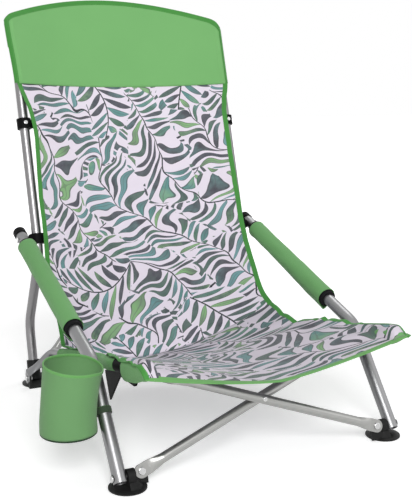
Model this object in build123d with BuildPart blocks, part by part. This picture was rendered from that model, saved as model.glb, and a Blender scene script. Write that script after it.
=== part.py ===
"""Low folding camp chair: steel tube frame with two crossed braces, a sling seat and a cup holder.

Millimetres, +Z up, the chair faces -Y.  Points are first written in the chair's own
station frame (x from the middle plane, y back from the front feet, z up from the floor)
and then moved so that the origin is the bottom centre of the whole chair's box.
"""
import os
from math import cos, radians, sin, sqrt

from build123d import *

# Tubes
LEG_R = 11.0
POST_R = 9.5
RAIL_R = 8.0
TUBE_WALL = 1.2

# Sideways places of the tube planes, from the middle plane
LEG_X = 252.0
POST_X = 225.0
RAIL_X = 206.0
RAIL_FRONT_X = 222.0
RAIL_PIVOT_X = 250.0
FRONT_LUG_X = 214.0
FRONT_HUB_X = 165.0
REAR_LUG_X = 190.0
FRONT_FOOT_X = 238.0

# Side view points of the leg and armrest (y, z)
LEG_PIVOT = (-2.0, 20.0)
ELBOW = (114.0, 172.0)
ARM_PIVOT = (506.0, 306.0)
ELBOW_BEND_R = 55.0
LEG_END_REACH = 9.0
ARM_END_REACH = 30.0

# Side view of the post: a straight leaning run above two bends
RAIL_PIVOT = (522.0, 21.0)
POST_LEAN = radians(17.0)
POST_SETOUT = 98.6
POST_FOOT = (562.0, 14.0)
POST_KNEE = (586.0, 118.0)
POST_BEND_HEIGHT = 236.0
POST_TOP_HEIGHT = 706.0
POST_KNEE_R = 60.0
POST_BEND_R = 40.0

# Side view of the seat rail, and distances along its straight run
RAIL_BEND = (500.0, 75.0)
RAIL_AIM = (35.0, 180.0)
RAIL_FLARE_START = 300.0
RAIL_FLARE_END = 400.0
RAIL_LENGTH = 545.0
RAIL_BEND_R = 30.0
RAIL_FLARE_R = 120.0

# Crossed braces
BRACE_R = 8.0
BRACE_GAP = 0.3
FRONT_LUG = (-6.0, 24.0)
FRONT_HUB = (31.0, 158.0)
REAR_LUG = (582.0, 26.0)
FLAT_T = 3.0
FLAT_HALF = 11.0
FLAT_LENGTH = 13.0
FLAT_TAPER = 26.0

# Rings that slide on the posts
RING_HEIGHT = 267.9
COLLAR_HEIGHT = 498.4
RING_R = 14.0
RING_HALF = 10.0
COLLAR_BRACE_SETBACK = 24.0
BOSS_R = 9.0
BOSS_REACH = 4.0

# Feet
FOOT_R = 30.0
FOOT_T = 4.5
FOOT_RIM_T = 3.0
FOOT_SLOPE = 6.0
SKIRT_R = 15.0
SKIRT_TOP = 13.5
REAR_FOOT_Y = 543.0
CHEEK_T = 12.6
CHEEK_R = 11.0
EAR_T = 4.0
EAR_R = 10.0
RAIL_EAR_R = 9.0
RAIL_EAR_T = 4.3
SOCKET_WALL = 3.5
SOCKET_TOP = 44.0

# Rivets and clearances
PIN_R = 3.0
SMALL_PIN_R = 2.0
HEAD_R = 6.0
SMALL_HEAD_R = 4.0
HEAD_T = 2.0
ROUND_SHARE = 0.6
BLIND_WALL = 2.0
THIN_WALL = 1.0
RUN = 0.05
SLIDE = 0.3
SEAT = 0.1
MOVE = 0.3

# Caps, armrest padding
CAP_WALL = 1.4
ARM_CAP_LENGTH = 15.0
CAP_LIP = 3.0
PLUG_LENGTH = 12.0
PAD_START = 22.0
PAD_LENGTH = 303.0
FOAM_R = 15.4
COVER_T = 1.0
COVER_INSET = 8.0

# Hub bracket on the rail
HUB_START = 440.0
HUB_LENGTH = 36.0
HUB_R = 11.5
HUB_PLATE_T = 3.2
HUB_TIP = (138.0, 92.0)
HUB_TAIL = (160.0, 137.0)
HUB_NECK = (90.0, 147.0)

# Sling cloth
CLOTH_T = 1.6
SLEEVE_T = 1.2
SLING_EDGE_X = 204.0
SEAT_RISE = 6.0
HEADER_DROP = 130.0
POCKET_DROP = 46.0
HEADER_SAG = 46.0
HEADER_CREST = 55.0
BACK_SAG = 40.0
SEAT_SAG = 34.0
CREASE_SAG = 52.0
POCKET_SLACK = 24.0
SLING_REACH = RAIL_LENGTH + POCKET_SLACK
HEM_SETBACK = 13.0
SLEEVE_START = 78.0
POCKET_END_T = 3.0
BACK_EDGE = [(548.0, 480.0), (505.0, 345.0), (470.0, 235.0)]
CREASE_EDGE = (424.0, 108.0)

# Cup holder
CUP_R = 44.0
CUP_WALL = 2.0
CUP_RIM_Z = 184.0
CUP_DEPTH = 105.0
CUP_BASE_T = 3.0
CUP_Y = 62.0
LOOP_T = 1.5
LOOP_LENGTH = 14.0

LEFT = -1
RIGHT = 1
SIDE_NAMES = {LEFT: "left", RIGHT: "right"}

# Directions in the side view
POST_UP = (sin(POST_LEAN), cos(POST_LEAN))
POST_OUT = (-cos(POST_LEAN), sin(POST_LEAN))


def between(start, end, distance):
    """Side view point at a distance from start towards end."""
    run = Vector(end[0] - start[0], end[1] - start[1])
    return (start[0] + run.X / run.length * distance, start[1] + run.Y / run.length * distance)


def on_post(height, setout=POST_SETOUT):
    """Side view point in the post's own leaning frame."""
    return (
        RAIL_PIVOT[0] + height * POST_UP[0] + setout * POST_OUT[0],
        RAIL_PIVOT[1] + height * POST_UP[1] + setout * POST_OUT[1],
    )


def on_rail(distance):
    """Side view point along the straight run of the rail."""
    return between(RAIL_BEND, RAIL_AIM, distance)


# The chair's box: cup holder to armrest cover, front pocket to head panel
CUP_X = LEG_X + LEG_R + SEAT + LOOP_T + MOVE + CUP_R
FRAME_X = (CUP_X + CUP_R - LEG_X - FOAM_R - SEAT - COVER_T) / 2
BACK_REACH = on_post(POST_TOP_HEIGHT)[0] + HEADER_SAG + CLOTH_T
FRONT_REACH = on_rail(SLING_REACH + CAP_LIP + POCKET_END_T)[0]
FRAME_Y = (BACK_REACH + FRONT_REACH) / 2

# Face that works against the inside of the leg and armrest
LEG_INNER = LEG_X - LEG_R - MOVE


def place(side, x, point):
    """Row frame point for a side, a distance from the middle plane and a side view point."""
    return Vector(side * x + FRAME_X, point[0] - FRAME_Y, point[1])


def heading(start, end):
    """Unit direction in space between two side view points."""
    return Vector(0, end[0] - start[0], end[1] - start[1]).normalized()


def save(piece, name):
    """Label a finished piece and write it."""
    piece.label = name
    export_step(piece, f"parts/{name}.step")


def bent_tube(points, bends, outer_r, inner_r):
    """Tube swept along straight runs and tangent arcs."""
    with BuildPart() as tube:
        with BuildLine() as route:
            FilletPolyline(*points, radius=bends)
        with BuildSketch(Plane(origin=route.line @ 0, z_dir=route.line % 0)):
            Circle(outer_r)
            Circle(inner_r, mode=Mode.SUBTRACT)
        sweep()
    return tube.part


def rivet(plane, low, high, pin_r=PIN_R, head_r=HEAD_R, tail_r=None):
    """Rivet along the plane's normal, domed head at the high end and an upset tail at the low end."""
    with BuildPart(plane) as pin:
        with Locations((0, 0, low)):
            Cylinder(pin_r, high - low, align=(Align.CENTER, Align.CENTER, Align.MIN))
        with Locations((0, 0, high)):
            Cylinder(head_r, HEAD_T, align=(Align.CENTER, Align.CENTER, Align.MIN))
        rims = pin.edges().filter_by(GeomType.CIRCLE)
        top_rim = rims.sort_by(lambda rim: plane.to_local_coords(rim.center()).Z)[-1]
        fillet(top_rim, HEAD_T * ROUND_SHARE)
        if tail_r:
            with Locations((0, 0, low)):
                Cylinder(tail_r, HEAD_T, align=(Align.CENTER, Align.CENTER, Align.MAX))
    return pin.part


def cross_section(plane, distance):
    """Plane square to a bar that runs along another plane's X."""
    origin = plane.from_local_coords(Vector(distance, 0, 0))
    return Plane(origin=origin, x_dir=plane.y_dir, z_dir=plane.x_dir)


def flat_ended_bar(plane, length):
    """Round tube along the plane's X, pressed flat, rounded and drilled at both ends."""
    round_start = FLAT_LENGTH + FLAT_TAPER
    with BuildPart() as bar:
        for end, way in ((0, 1), (length, -1)):
            with BuildSketch(plane.offset(-FLAT_T / 2)):
                with Locations((end, 0)):
                    Circle(FLAT_HALF)
                with Locations((end + way * FLAT_LENGTH / 2, 0)):
                    Rectangle(FLAT_LENGTH, 2 * FLAT_HALF)
                with Locations((end, 0)):
                    Circle(PIN_R + RUN, mode=Mode.SUBTRACT)
            extrude(amount=FLAT_T)
            with BuildSketch(cross_section(plane, end + way * FLAT_LENGTH)):
                Rectangle(2 * FLAT_HALF, FLAT_T)
            with BuildSketch(cross_section(plane, end + way * round_start)):
                Circle(BRACE_R)
            loft()
        with BuildSketch(cross_section(plane, round_start)):
            Circle(BRACE_R)
            Circle(BRACE_R - TUBE_WALL, mode=Mode.SUBTRACT)
        extrude(amount=length - 2 * round_start)
    return bar.part


def brace_plane(low, high):
    """Plane of a crossed pair: X sideways, Y up the frame, Z to the front."""
    up = heading(low, high)
    normal = Vector(1, 0, 0).cross(up)
    return Plane(origin=place(0, 0, low), x_dir=(1, 0, 0), z_dir=normal)


COLLAR_BRACE = on_post(COLLAR_HEIGHT, POST_SETOUT - COLLAR_BRACE_SETBACK)
FRONT_PLANE = brace_plane(FRONT_LUG, FRONT_HUB)
REAR_PLANE = brace_plane(REAR_LUG, COLLAR_BRACE)
BRACE_OFFSET = BRACE_R + BRACE_GAP


def brace_layer(side):
    """Distance in front of its plane: the left brace lies behind, the right one in front."""
    return side * BRACE_OFFSET


def rise(low, high):
    """Distance between two side view points."""
    return Vector(high[0] - low[0], high[1] - low[1]).length


def brace_axis(side, plane, lug_x, top_x, height):
    """Plane along a brace, from its lower pivot on one side to its top end on the other."""
    layer = brace_layer(side)
    start = plane.from_local_coords(Vector(side * lug_x, 0, layer))
    end = plane.from_local_coords(Vector(-side * top_x, height, layer))
    return Plane(origin=start, x_dir=end - start, z_dir=plane.z_dir), (end - start).length


def brace(side, plane, lug_x, top_x, height, cross_r):
    """One brace of a crossed pair, drilled at its middle for the cross rivet."""
    axis, length = brace_axis(side, plane, lug_x, top_x, height)
    middle = cross_point(plane, lug_x, top_x, height)
    bar = flat_ended_bar(axis, length)
    with BuildPart() as part:
        add(bar)
        if cross_r:
            with Locations(Plane(origin=middle, z_dir=plane.z_dir)):
                Cylinder(cross_r, 6 * BRACE_OFFSET, mode=Mode.SUBTRACT)
    return part.part


def cross_point(plane, lug_x, top_x, height):
    """Where the two braces of a pair cross, on their plane."""
    return plane.from_local_coords(Vector(0, height * lug_x / (lug_x + top_x), 0))


def lug_planes(side, plane, lug_x):
    """Back face of the ear and front face of the pressed end at a brace's lower pivot."""
    pressed_back = brace_layer(side) - FLAT_T / 2
    origin = plane.from_local_coords(Vector(side * lug_x, 0, 0))
    pivot = Plane(origin=origin, x_dir=plane.x_dir, z_dir=plane.z_dir)
    return pivot, pressed_back - MOVE - EAR_T, pressed_back + FLAT_T + MOVE


def lug_rivet(side, plane, lug_x):
    """Rivet through an ear and the pressed end of a brace."""
    pivot, ear_back, front = lug_planes(side, plane, lug_x)
    return rivet(pivot, ear_back - SEAT, front, tail_r=SMALL_HEAD_R)


def lug_ear(side, plane, lug_x, pivot_z):
    """Upright ear behind the pressed end of a brace, down into the foot's base."""
    pivot, ear_back, _ = lug_planes(side, plane, lug_x)
    drop = (pivot_z + ear_back * plane.z_dir.Z - FOOT_RIM_T / 2) / plane.y_dir.Z
    with BuildPart() as ear:
        with BuildSketch(pivot.offset(ear_back)):
            Circle(EAR_R)
            with Locations((0, -drop / 2)):
                Rectangle(2 * EAR_R, drop)
            Circle(PIN_R + RUN, mode=Mode.SUBTRACT)
        extrude(amount=EAR_T)
    return ear.part


def foot_disc(centre):
    """Round base with a sloped rim."""
    with BuildPart() as disc:
        with BuildSketch(Plane(origin=centre, x_dir=(1, 0, 0), z_dir=(0, -1, 0))):
            with BuildLine():
                Polyline(
                    (0, 0), (FOOT_R - THIN_WALL, 0), (FOOT_R, THIN_WALL), (FOOT_R, FOOT_RIM_T),
                    (FOOT_R - FOOT_SLOPE, FOOT_T), (0, FOOT_T), close=True,
                )
            make_face()
        revolve(axis=Axis(centre, (0, 0, 1)))
    return disc.part


def front_foot(side):
    """Foot with a skirt and a cheek beside the leg, and an ear for the front brace."""
    centre = place(side, FRONT_FOOT_X, (0, 0))
    disc = foot_disc(centre)
    ear = lug_ear(side, FRONT_PLANE, FRONT_LUG_X, FRONT_LUG[1])
    cheek_plane = Plane(origin=place(side, LEG_INNER, LEG_PIVOT), x_dir=(0, 1, 0), z_dir=(side, 0, 0))
    down = -1 if cheek_plane.y_dir.Z > 0 else 1
    with BuildPart() as skirt:
        with Locations(centre + Vector(0, 0, FOOT_RIM_T)):
            Cone(
                FOOT_R - FOOT_SLOPE, SKIRT_R, SKIRT_TOP - FOOT_RIM_T,
                align=(Align.CENTER, Align.CENTER, Align.MIN),
            )
        split(bisect_by=cheek_plane, keep=Keep.BOTTOM)
    with BuildPart() as foot:
        add(disc)
        add(skirt.part)
        add(ear)
        with BuildSketch(cheek_plane):
            Circle(CHEEK_R)
            with Locations((0, down * (LEG_PIVOT[1] - FOOT_RIM_T) / 2)):
                Rectangle(2 * CHEEK_R, LEG_PIVOT[1] - FOOT_RIM_T)
            Circle(PIN_R + RUN, mode=Mode.SUBTRACT)
        extrude(amount=-CHEEK_T)
    return foot.part


def leg_rivet(side):
    """Pivot between the leg and its foot, head on the outside of the leg."""
    plane = Plane(origin=place(side, LEG_X, LEG_PIVOT), x_dir=(0, 1, 0), z_dir=(side, 0, 0))
    return rivet(plane, -LEG_R - MOVE - CHEEK_T - SEAT, LEG_R + MOVE, tail_r=HEAD_R)


def leg_arm_tube(side):
    """Front leg and armrest bent from one tube, drilled for its two pivots."""
    foot_end = between(LEG_PIVOT, ELBOW, -LEG_END_REACH)
    arm_end = between(ARM_PIVOT, ELBOW, -ARM_END_REACH)
    points = [place(side, LEG_X, point) for point in (foot_end, ELBOW, arm_end)]
    tube = bent_tube(points, [ELBOW_BEND_R], LEG_R, LEG_R - TUBE_WALL)
    with BuildPart() as leg:
        add(tube)
        for pivot in (LEG_PIVOT, ARM_PIVOT):
            with Locations(Plane(origin=place(side, LEG_X, pivot), z_dir=(1, 0, 0))):
                Cylinder(PIN_R + RUN, 3 * LEG_R, mode=Mode.SUBTRACT)
    return leg.part


def arm_plane(side, distance):
    """Plane square to the armrest, a distance below its pivot, normal to the front."""
    return Plane(
        origin=place(side, LEG_X, between(ARM_PIVOT, ELBOW, distance)), z_dir=heading(ARM_PIVOT, ELBOW)
    )


def sleeve(plane, inner_r, outer_r, length):
    """Plain hollow cylinder along a plane's normal."""
    with BuildPart() as tube:
        with BuildSketch(plane):
            Circle(outer_r)
            Circle(inner_r, mode=Mode.SUBTRACT)
        extrude(amount=length)
    return tube.part


def arm_end_cap(side):
    """Cup shaped cap over the rear end of the armrest."""
    inner_r = LEG_R + SEAT
    open_end = arm_plane(side, ARM_CAP_LENGTH - ARM_END_REACH)
    with BuildPart() as cap:
        with BuildSketch(open_end):
            Circle(inner_r + CAP_WALL)
        extrude(amount=-ARM_CAP_LENGTH - SEAT - CAP_LIP)
        tip = cap.edges().filter_by(GeomType.CIRCLE).sort_by(Axis.Y)[-1]
        fillet(tip, CAP_LIP * ROUND_SHARE)
        with BuildSketch(open_end):
            Circle(inner_r)
        extrude(amount=-ARM_CAP_LENGTH - SEAT, mode=Mode.SUBTRACT)
    return cap.part


def end_plug(plane, outer_r):
    """Plug pressed into a tube's end, with a rounded lip; the plane's normal points out of the tube."""
    with BuildPart() as plug:
        with BuildSketch(plane):
            Circle(outer_r)
        extrude(amount=CAP_LIP)
        outer = plug.faces().sort_by(lambda face: plane.to_local_coords(face.center()).Z)[-1]
        fillet(outer.edges(), CAP_LIP * ROUND_SHARE)
        with BuildSketch(plane):
            Circle(outer_r - TUBE_WALL - SEAT)
        extrude(amount=-PLUG_LENGTH)
    return plug.part


def post_plane(side, height):
    """Plane square to the post's straight run, normal up the post."""
    return Plane(
        origin=place(side, POST_X, on_post(height)), x_dir=(1, 0, 0), z_dir=(0, POST_UP[0], POST_UP[1])
    )


def back_post(side):
    """Back post: up from the foot, forward at the knee, then leaning back to the top."""
    points = [POST_FOOT, POST_KNEE, on_post(POST_BEND_HEIGHT), on_post(POST_TOP_HEIGHT)]
    route = [place(side, POST_X, point) for point in points]
    return bent_tube(route, [POST_KNEE_R, POST_BEND_R], POST_R, POST_R - TUBE_WALL)


def sliding_ring(side, height):
    """Plain moulded ring on the post."""
    with BuildPart() as ring:
        with BuildSketch(post_plane(side, height - RING_HALF)):
            Circle(RING_R)
            Circle(POST_R + SLIDE, mode=Mode.SUBTRACT)
        extrude(amount=2 * RING_HALF)
    return ring.part


def ring_bracket(side):
    """Ring with an outboard boss for the armrest's pivot."""
    ring = sliding_ring(side, RING_HEIGHT)
    pivot = Plane(origin=place(side, LEG_INNER, ARM_PIVOT), x_dir=(0, 1, 0), z_dir=(side, 0, 0))
    bore = post_plane(side, RING_HEIGHT - RING_HALF)
    with BuildPart() as bracket:
        add(ring)
        with BuildSketch(pivot):
            Circle(BOSS_R)
        extrude(amount=-(LEG_INNER - POST_X))
        with BuildSketch(bore):
            Circle(POST_R + SLIDE)
        extrude(amount=2 * RING_HALF, mode=Mode.SUBTRACT)
        with BuildSketch(pivot):
            Circle(PIN_R + RUN)
        extrude(amount=-(LEG_INNER - POST_X - POST_R - SLIDE - BLIND_WALL), mode=Mode.SUBTRACT)
    return bracket.part


def ring_rivet(side):
    """Armrest pivot: pin from the ring's boss through the armrest tube."""
    plane = Plane(origin=place(side, LEG_X, ARM_PIVOT), x_dir=(0, 1, 0), z_dir=(side, 0, 0))
    inner_end = POST_X + POST_R + SLIDE + BLIND_WALL + SEAT
    return rivet(plane, inner_end - LEG_X, LEG_R + MOVE)


def collar(side):
    """Upper ring with a short inboard boss towards the rear brace and a hole for its rivet."""
    ring = sliding_ring(side, COLLAR_HEIGHT)
    point = on_post(COLLAR_HEIGHT)
    inboard = Plane(origin=place(side, POST_X - RING_R - BOSS_REACH, point), z_dir=(side, 0, 0))
    with BuildPart() as part:
        add(ring)
        with BuildSketch(inboard):
            Circle(BOSS_R)
        extrude(amount=RING_R + BOSS_REACH)
        with BuildSketch(post_plane(side, COLLAR_HEIGHT - RING_HALF)):
            Circle(POST_R + SLIDE)
        extrude(amount=2 * RING_HALF, mode=Mode.SUBTRACT)
        with BuildSketch(collar_rivet_plane(side)):
            Circle(SMALL_PIN_R + RUN)
        extrude(amount=-(RING_R - POST_R - SLIDE - THIN_WALL), mode=Mode.SUBTRACT)
    return part.part


def collar_rivet_plane(side):
    """Front of the collar, normal forward."""
    out = Vector(0, POST_OUT[0], POST_OUT[1])
    return Plane(origin=place(side, POST_X, on_post(COLLAR_HEIGHT)) + out * RING_R, z_dir=out)


def collar_rivet(side):
    """Small bright rivet in the front of the collar."""
    depth = RING_R - POST_R - SLIDE - THIN_WALL - SEAT
    return rivet(collar_rivet_plane(side), -depth, SEAT, SMALL_PIN_R, SMALL_HEAD_R)


RAIL_TAB_IN = RAIL_PIVOT_X - FLAT_T / 2
RAIL_EAR_OUT = RAIL_TAB_IN - MOVE


def rear_foot(side):
    """Foot with the post's socket, an outer ear for the rail and an inner ear for the rear brace."""
    disc = foot_disc(place(side, POST_X, (REAR_FOOT_Y, 0)))
    ear = lug_ear(side, REAR_PLANE, REAR_LUG_X, REAR_LUG[1])
    lean = heading(POST_FOOT, POST_KNEE)
    post_line = Plane(origin=place(side, POST_X, POST_FOOT), x_dir=(1, 0, 0), z_dir=lean)
    rail_ear = Plane(origin=place(side, RAIL_EAR_OUT, RAIL_PIVOT), x_dir=(0, 1, 0), z_dir=(side, 0, 0))
    down = -1 if rail_ear.y_dir.Z > 0 else 1
    drop = RAIL_PIVOT[1] - FOOT_RIM_T / 2
    ear_box = ear.bounding_box()
    with BuildPart() as foot:
        add(disc)
        add(ear)
        with BuildSketch(rail_ear):
            Circle(RAIL_EAR_R)
            with Locations((0, down * drop / 2)):
                Rectangle(2 * RAIL_EAR_R, drop)
            Circle(PIN_R + RUN, mode=Mode.SUBTRACT)
        extrude(amount=-RAIL_EAR_T)
        with BuildSketch(Plane.XY):
            tongue_start = place(side, POST_X, (RAIL_PIVOT[0] - RAIL_EAR_R, 0))
            tongue_end = place(side, RAIL_EAR_OUT, (RAIL_PIVOT[0] + RAIL_EAR_R, 0))
            with Locations((tongue_start + tongue_end) / 2):
                Rectangle(abs(tongue_end.X - tongue_start.X), 2 * RAIL_EAR_R)
            inner = place(side, REAR_LUG_X - EAR_R, (REAR_FOOT_Y, 0))
            reach = ear_box.max.Y - inner.Y
            with Locations((inner.X + side * (POST_X - REAR_LUG_X + EAR_R) / 2, inner.Y + reach / 2)):
                Rectangle(POST_X - REAR_LUG_X + EAR_R, reach)
        extrude(amount=FOOT_T)
        with BuildSketch(post_line.offset(-POST_FOOT[1] + FOOT_T)):
            Circle(POST_R + SEAT + SOCKET_WALL)
        extrude(amount=SOCKET_TOP - FOOT_T)
        with BuildSketch(post_line.offset(-SEAT)):
            Circle(POST_R + SEAT)
        extrude(amount=SOCKET_TOP, mode=Mode.SUBTRACT)
    return foot.part


def seat_rail(side):
    """Rail from its pressed rear end, in and up to a bend, then forward with a slight flare."""
    flare_start = on_rail(RAIL_FLARE_START)
    flare_end = on_rail(RAIL_FLARE_END)
    pivot = place(side, RAIL_PIVOT_X, RAIL_PIVOT)
    bend = place(side, RAIL_X, RAIL_BEND)
    slope = (bend - pivot).normalized()
    round_start = pivot + slope * (FLAT_LENGTH + FLAT_TAPER)
    route = [
        round_start,
        bend,
        place(side, RAIL_X, flare_start),
        place(side, RAIL_FRONT_X, flare_end),
        place(side, RAIL_FRONT_X, on_rail(RAIL_LENGTH)),
    ]
    tube = bent_tube(route, [RAIL_BEND_R, RAIL_FLARE_R, RAIL_FLARE_R], RAIL_R, RAIL_R - TUBE_WALL)
    up = heading(RAIL_PIVOT, RAIL_BEND)
    tab = Plane(origin=pivot, x_dir=up, z_dir=(side, 0, 0))
    hub_pin = hub_rivet_plane(side)
    with BuildPart() as rail:
        add(tube)
        with BuildSketch(tab.offset(-FLAT_T / 2)):
            Circle(FLAT_HALF)
            with Locations((FLAT_LENGTH / 2, 0)):
                Rectangle(FLAT_LENGTH, 2 * FLAT_HALF)
            Circle(PIN_R + RUN, mode=Mode.SUBTRACT)
        extrude(amount=FLAT_T)
        with BuildSketch(cross_section(tab, FLAT_LENGTH)):
            Rectangle(2 * FLAT_HALF, FLAT_T)
        with BuildSketch(Plane(origin=round_start, x_dir=tab.y_dir, z_dir=slope)):
            Circle(RAIL_R)
        loft()
        with Locations(hub_pin):
            Cylinder(SMALL_PIN_R + RUN, 4 * RAIL_R, mode=Mode.SUBTRACT)
    return rail.part


def rail_rivet(side):
    """Pivot of the rail on the rear foot's outer ear."""
    plane = Plane(origin=place(side, RAIL_PIVOT_X, RAIL_PIVOT), x_dir=(0, 1, 0), z_dir=(side, 0, 0))
    return rivet(plane, -FLAT_T / 2 - MOVE - RAIL_EAR_T - SEAT, FLAT_T / 2 + MOVE, tail_r=HEAD_R)


def rail_plane(side, distance):
    """Plane square to the front run of the rail, normal to the front."""
    return Plane(
        origin=place(side, RAIL_FRONT_X, on_rail(distance)),
        x_dir=(1, 0, 0),
        z_dir=heading(RAIL_BEND, RAIL_AIM),
    )


def hub_rivet_plane(side):
    """Middle of the hub bracket on the rail, normal up from the rail."""
    square = rail_plane(side, HUB_START + HUB_LENGTH / 2)
    up = square.y_dir if square.y_dir.Z > 0 else square.y_dir * -1
    return Plane(origin=square.origin, x_dir=(1, 0, 0), z_dir=up)


def hub_rivet(side):
    """Rivet through the hub bracket and the rail, its bright head on top."""
    return rivet(hub_rivet_plane(side), -HUB_R, HUB_R + SEAT, SMALL_PIN_R, SMALL_HEAD_R)


def hub_bracket(side):
    """Sleeve round the rail with a kite shaped plate below it for the front brace."""
    band = sleeve(rail_plane(side, HUB_START), RAIL_R + SEAT, HUB_R, HUB_LENGTH)
    plate_x = RAIL_FRONT_X - RAIL_R - SEAT - HUB_PLATE_T
    plate = Plane(origin=place(side, plate_x, (0, 0)), x_dir=(0, 1, 0), z_dir=(1, 0, 0))
    rear = on_rail(HUB_START + HUB_PLATE_T)
    front = on_rail(HUB_START + HUB_LENGTH)
    corners = [
        (rear[0], rear[1] - SEAT), (rear[0], rear[1] - HUB_R), HUB_TAIL, HUB_TIP, HUB_NECK,
        (FRONT_HUB[0], FRONT_HUB[1] - EAR_R), (front[0], front[1] - SEAT),
    ]
    with BuildPart() as bracket:
        add(band)
        with BuildSketch(plate):
            with BuildLine():
                Polyline(*corners, close=True)
            make_face()
            with Locations(FRONT_HUB):
                Circle(EAR_R)
        extrude(amount=side * HUB_PLATE_T)
        with BuildSketch(plate):
            with Locations(FRONT_HUB):
                Circle(HEAD_R)
        extrude(amount=-side * HEAD_T)
        with Locations(hub_rivet_plane(side)):
            Cylinder(SMALL_PIN_R + RUN, 4 * HUB_R, mode=Mode.SUBTRACT)
    return bracket.part


def cross_rivet(side, plane, lug_x, top_x, height):
    """Rivet where a pair of braces cross; side 0 goes through both, otherwise only the front brace."""
    middle = Plane(origin=cross_point(plane, lug_x, top_x, height), x_dir=(1, 0, 0), z_dir=plane.z_dir)
    front = BRACE_OFFSET + BRACE_R + SEAT
    low = -front if side == 0 else 0.0
    return rivet(middle, low, front, SMALL_PIN_R, SMALL_HEAD_R, tail_r=SMALL_HEAD_R if side == 0 else None)


def cloth_band(sections, straight=False):
    """Thin cloth lofted through sagging bows; each section is half width, edge point and middle point."""
    with BuildPart() as cloth:
        for half, edge, middle in sections:
            sag = heading(edge, middle)
            plane = Plane(origin=place(0, 0, edge), x_dir=(1, 0, 0), z_dir=Vector(1, 0, 0).cross(sag))
            depth = rise(edge, middle)
            with BuildSketch(plane):
                with BuildLine():
                    ThreePointArc((-half, 0), (0, depth), (half, 0))
                    Line((half, 0), (half, CLOTH_T))
                    ThreePointArc((half, CLOTH_T), (0, depth + CLOTH_T), (-half, CLOTH_T))
                    Line((-half, CLOTH_T), (-half, 0))
                make_face()
        loft(ruled=straight)
    return cloth.part


HEADER_HALF = POST_X - POST_R - SLIDE - SLEEVE_T - MOVE
HEADER_LOW = POST_TOP_HEIGHT - HEADER_DROP
POCKET_LOW = POST_TOP_HEIGHT - POCKET_DROP
HEADER_TOP = on_post(POST_TOP_HEIGHT)


def sling_header():
    """Head panel between the posts, bowed back, its top edge rising to a crest."""
    sections = []
    for height in (HEADER_LOW, POCKET_LOW):
        edge = on_post(height)
        sections.append((SLING_EDGE_X, edge, (edge[0] + HEADER_SAG, edge[1])))
    crest = (HEADER_TOP[0] + HEADER_SAG, HEADER_TOP[1] + HEADER_CREST)
    sections.append((HEADER_HALF, HEADER_TOP, crest))
    return cloth_band(sections, straight=True)


def sling_back():
    """Back panel from the head panel's seam down to the crease, bowed back between its edges."""
    top = on_post(HEADER_LOW - MOVE - CLOTH_T)
    sections = [(SLING_EDGE_X, top, (top[0] + HEADER_SAG, top[1]))]
    for edge in BACK_EDGE:
        sections.append((SLING_EDGE_X, edge, (edge[0] + BACK_SAG, edge[1] - BACK_SAG / 2)))
    low_edge = (CREASE_EDGE[0] + MOVE, CREASE_EDGE[1])
    sections.append((seat_half(RAIL_X), low_edge, (low_edge[0] + BACK_SAG / 2, low_edge[1] - CREASE_SAG)))
    return cloth_band(sections)


def seat_half(rail_x):
    """Half width of the seat panel where it meets the upper inside of the rail's sleeve."""
    sleeve_r = RAIL_R + SLIDE + SLEEVE_T
    return rail_x - sqrt(sleeve_r**2 - (SEAT_RISE - CLOTH_T) ** 2) - MOVE


def sling_seat():
    """Seat panel from the crease to the front hem, hanging between the rails."""
    mid_half = seat_half(RAIL_X)
    front_half = RAIL_FRONT_X - HUB_R - MOVE
    rear_edge = (CREASE_EDGE[0] - MOVE, CREASE_EDGE[1])
    sections = [(mid_half, rear_edge, (rear_edge[0] + BACK_SAG / 2, rear_edge[1] - CREASE_SAG))]
    for distance, half in (
        (RAIL_FLARE_START, mid_half), (RAIL_FLARE_END, front_half), (SLING_REACH - HEM_SETBACK, front_half),
    ):
        rail = on_rail(distance)
        edge = (rail[0], rail[1] + SEAT_RISE)
        sections.append((half, edge, (edge[0], edge[1] - SEAT_SAG)))
    return cloth_band(sections, straight=True)


def header_sleeve(side):
    """Sewn pocket of the head panel over the top of a post, clear of the collar's travel."""
    inner_r = POST_R + SLIDE
    length = POCKET_DROP + CAP_LIP + SEAT
    with BuildPart() as pocket:
        with BuildSketch(post_plane(side, POCKET_LOW)):
            Circle(inner_r + SLEEVE_T)
        extrude(amount=length + SLEEVE_T)
        with BuildSketch(post_plane(side, POCKET_LOW)):
            Circle(inner_r)
        extrude(amount=length, mode=Mode.SUBTRACT)
    return pocket.part


def rail_sleeve(side):
    """Sewn sleeve of the seat panel round the rail, from the crease to the hub bracket."""
    end = HUB_START - MOVE
    route = [
        place(side, RAIL_X, on_rail(SLEEVE_START)),
        place(side, RAIL_X, on_rail(RAIL_FLARE_START)),
        place(side, RAIL_FRONT_X, on_rail(RAIL_FLARE_END)),
        place(side, RAIL_FRONT_X, on_rail(end)),
    ]
    inner_r = RAIL_R + SLIDE
    return bent_tube(route, [RAIL_FLARE_R, RAIL_FLARE_R], inner_r + SLEEVE_T, inner_r)


def front_pocket(side):
    """Closed pocket of the seat panel over the front end of the rail, slack beyond it."""
    start = rail_plane(side, HUB_START + HUB_LENGTH + MOVE)
    inner_r = RAIL_R + SLIDE
    length = SLING_REACH + CAP_LIP + SEAT - HUB_START - HUB_LENGTH - MOVE
    with BuildPart() as pocket:
        with BuildSketch(start):
            Circle(inner_r + SLEEVE_T)
        extrude(amount=length + POCKET_END_T)
        with BuildSketch(start):
            Circle(inner_r)
        extrude(amount=length, mode=Mode.SUBTRACT)
    return pocket.part


CUP_CENTRE = place(LEFT, CUP_X, (CUP_Y, 0))


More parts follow.
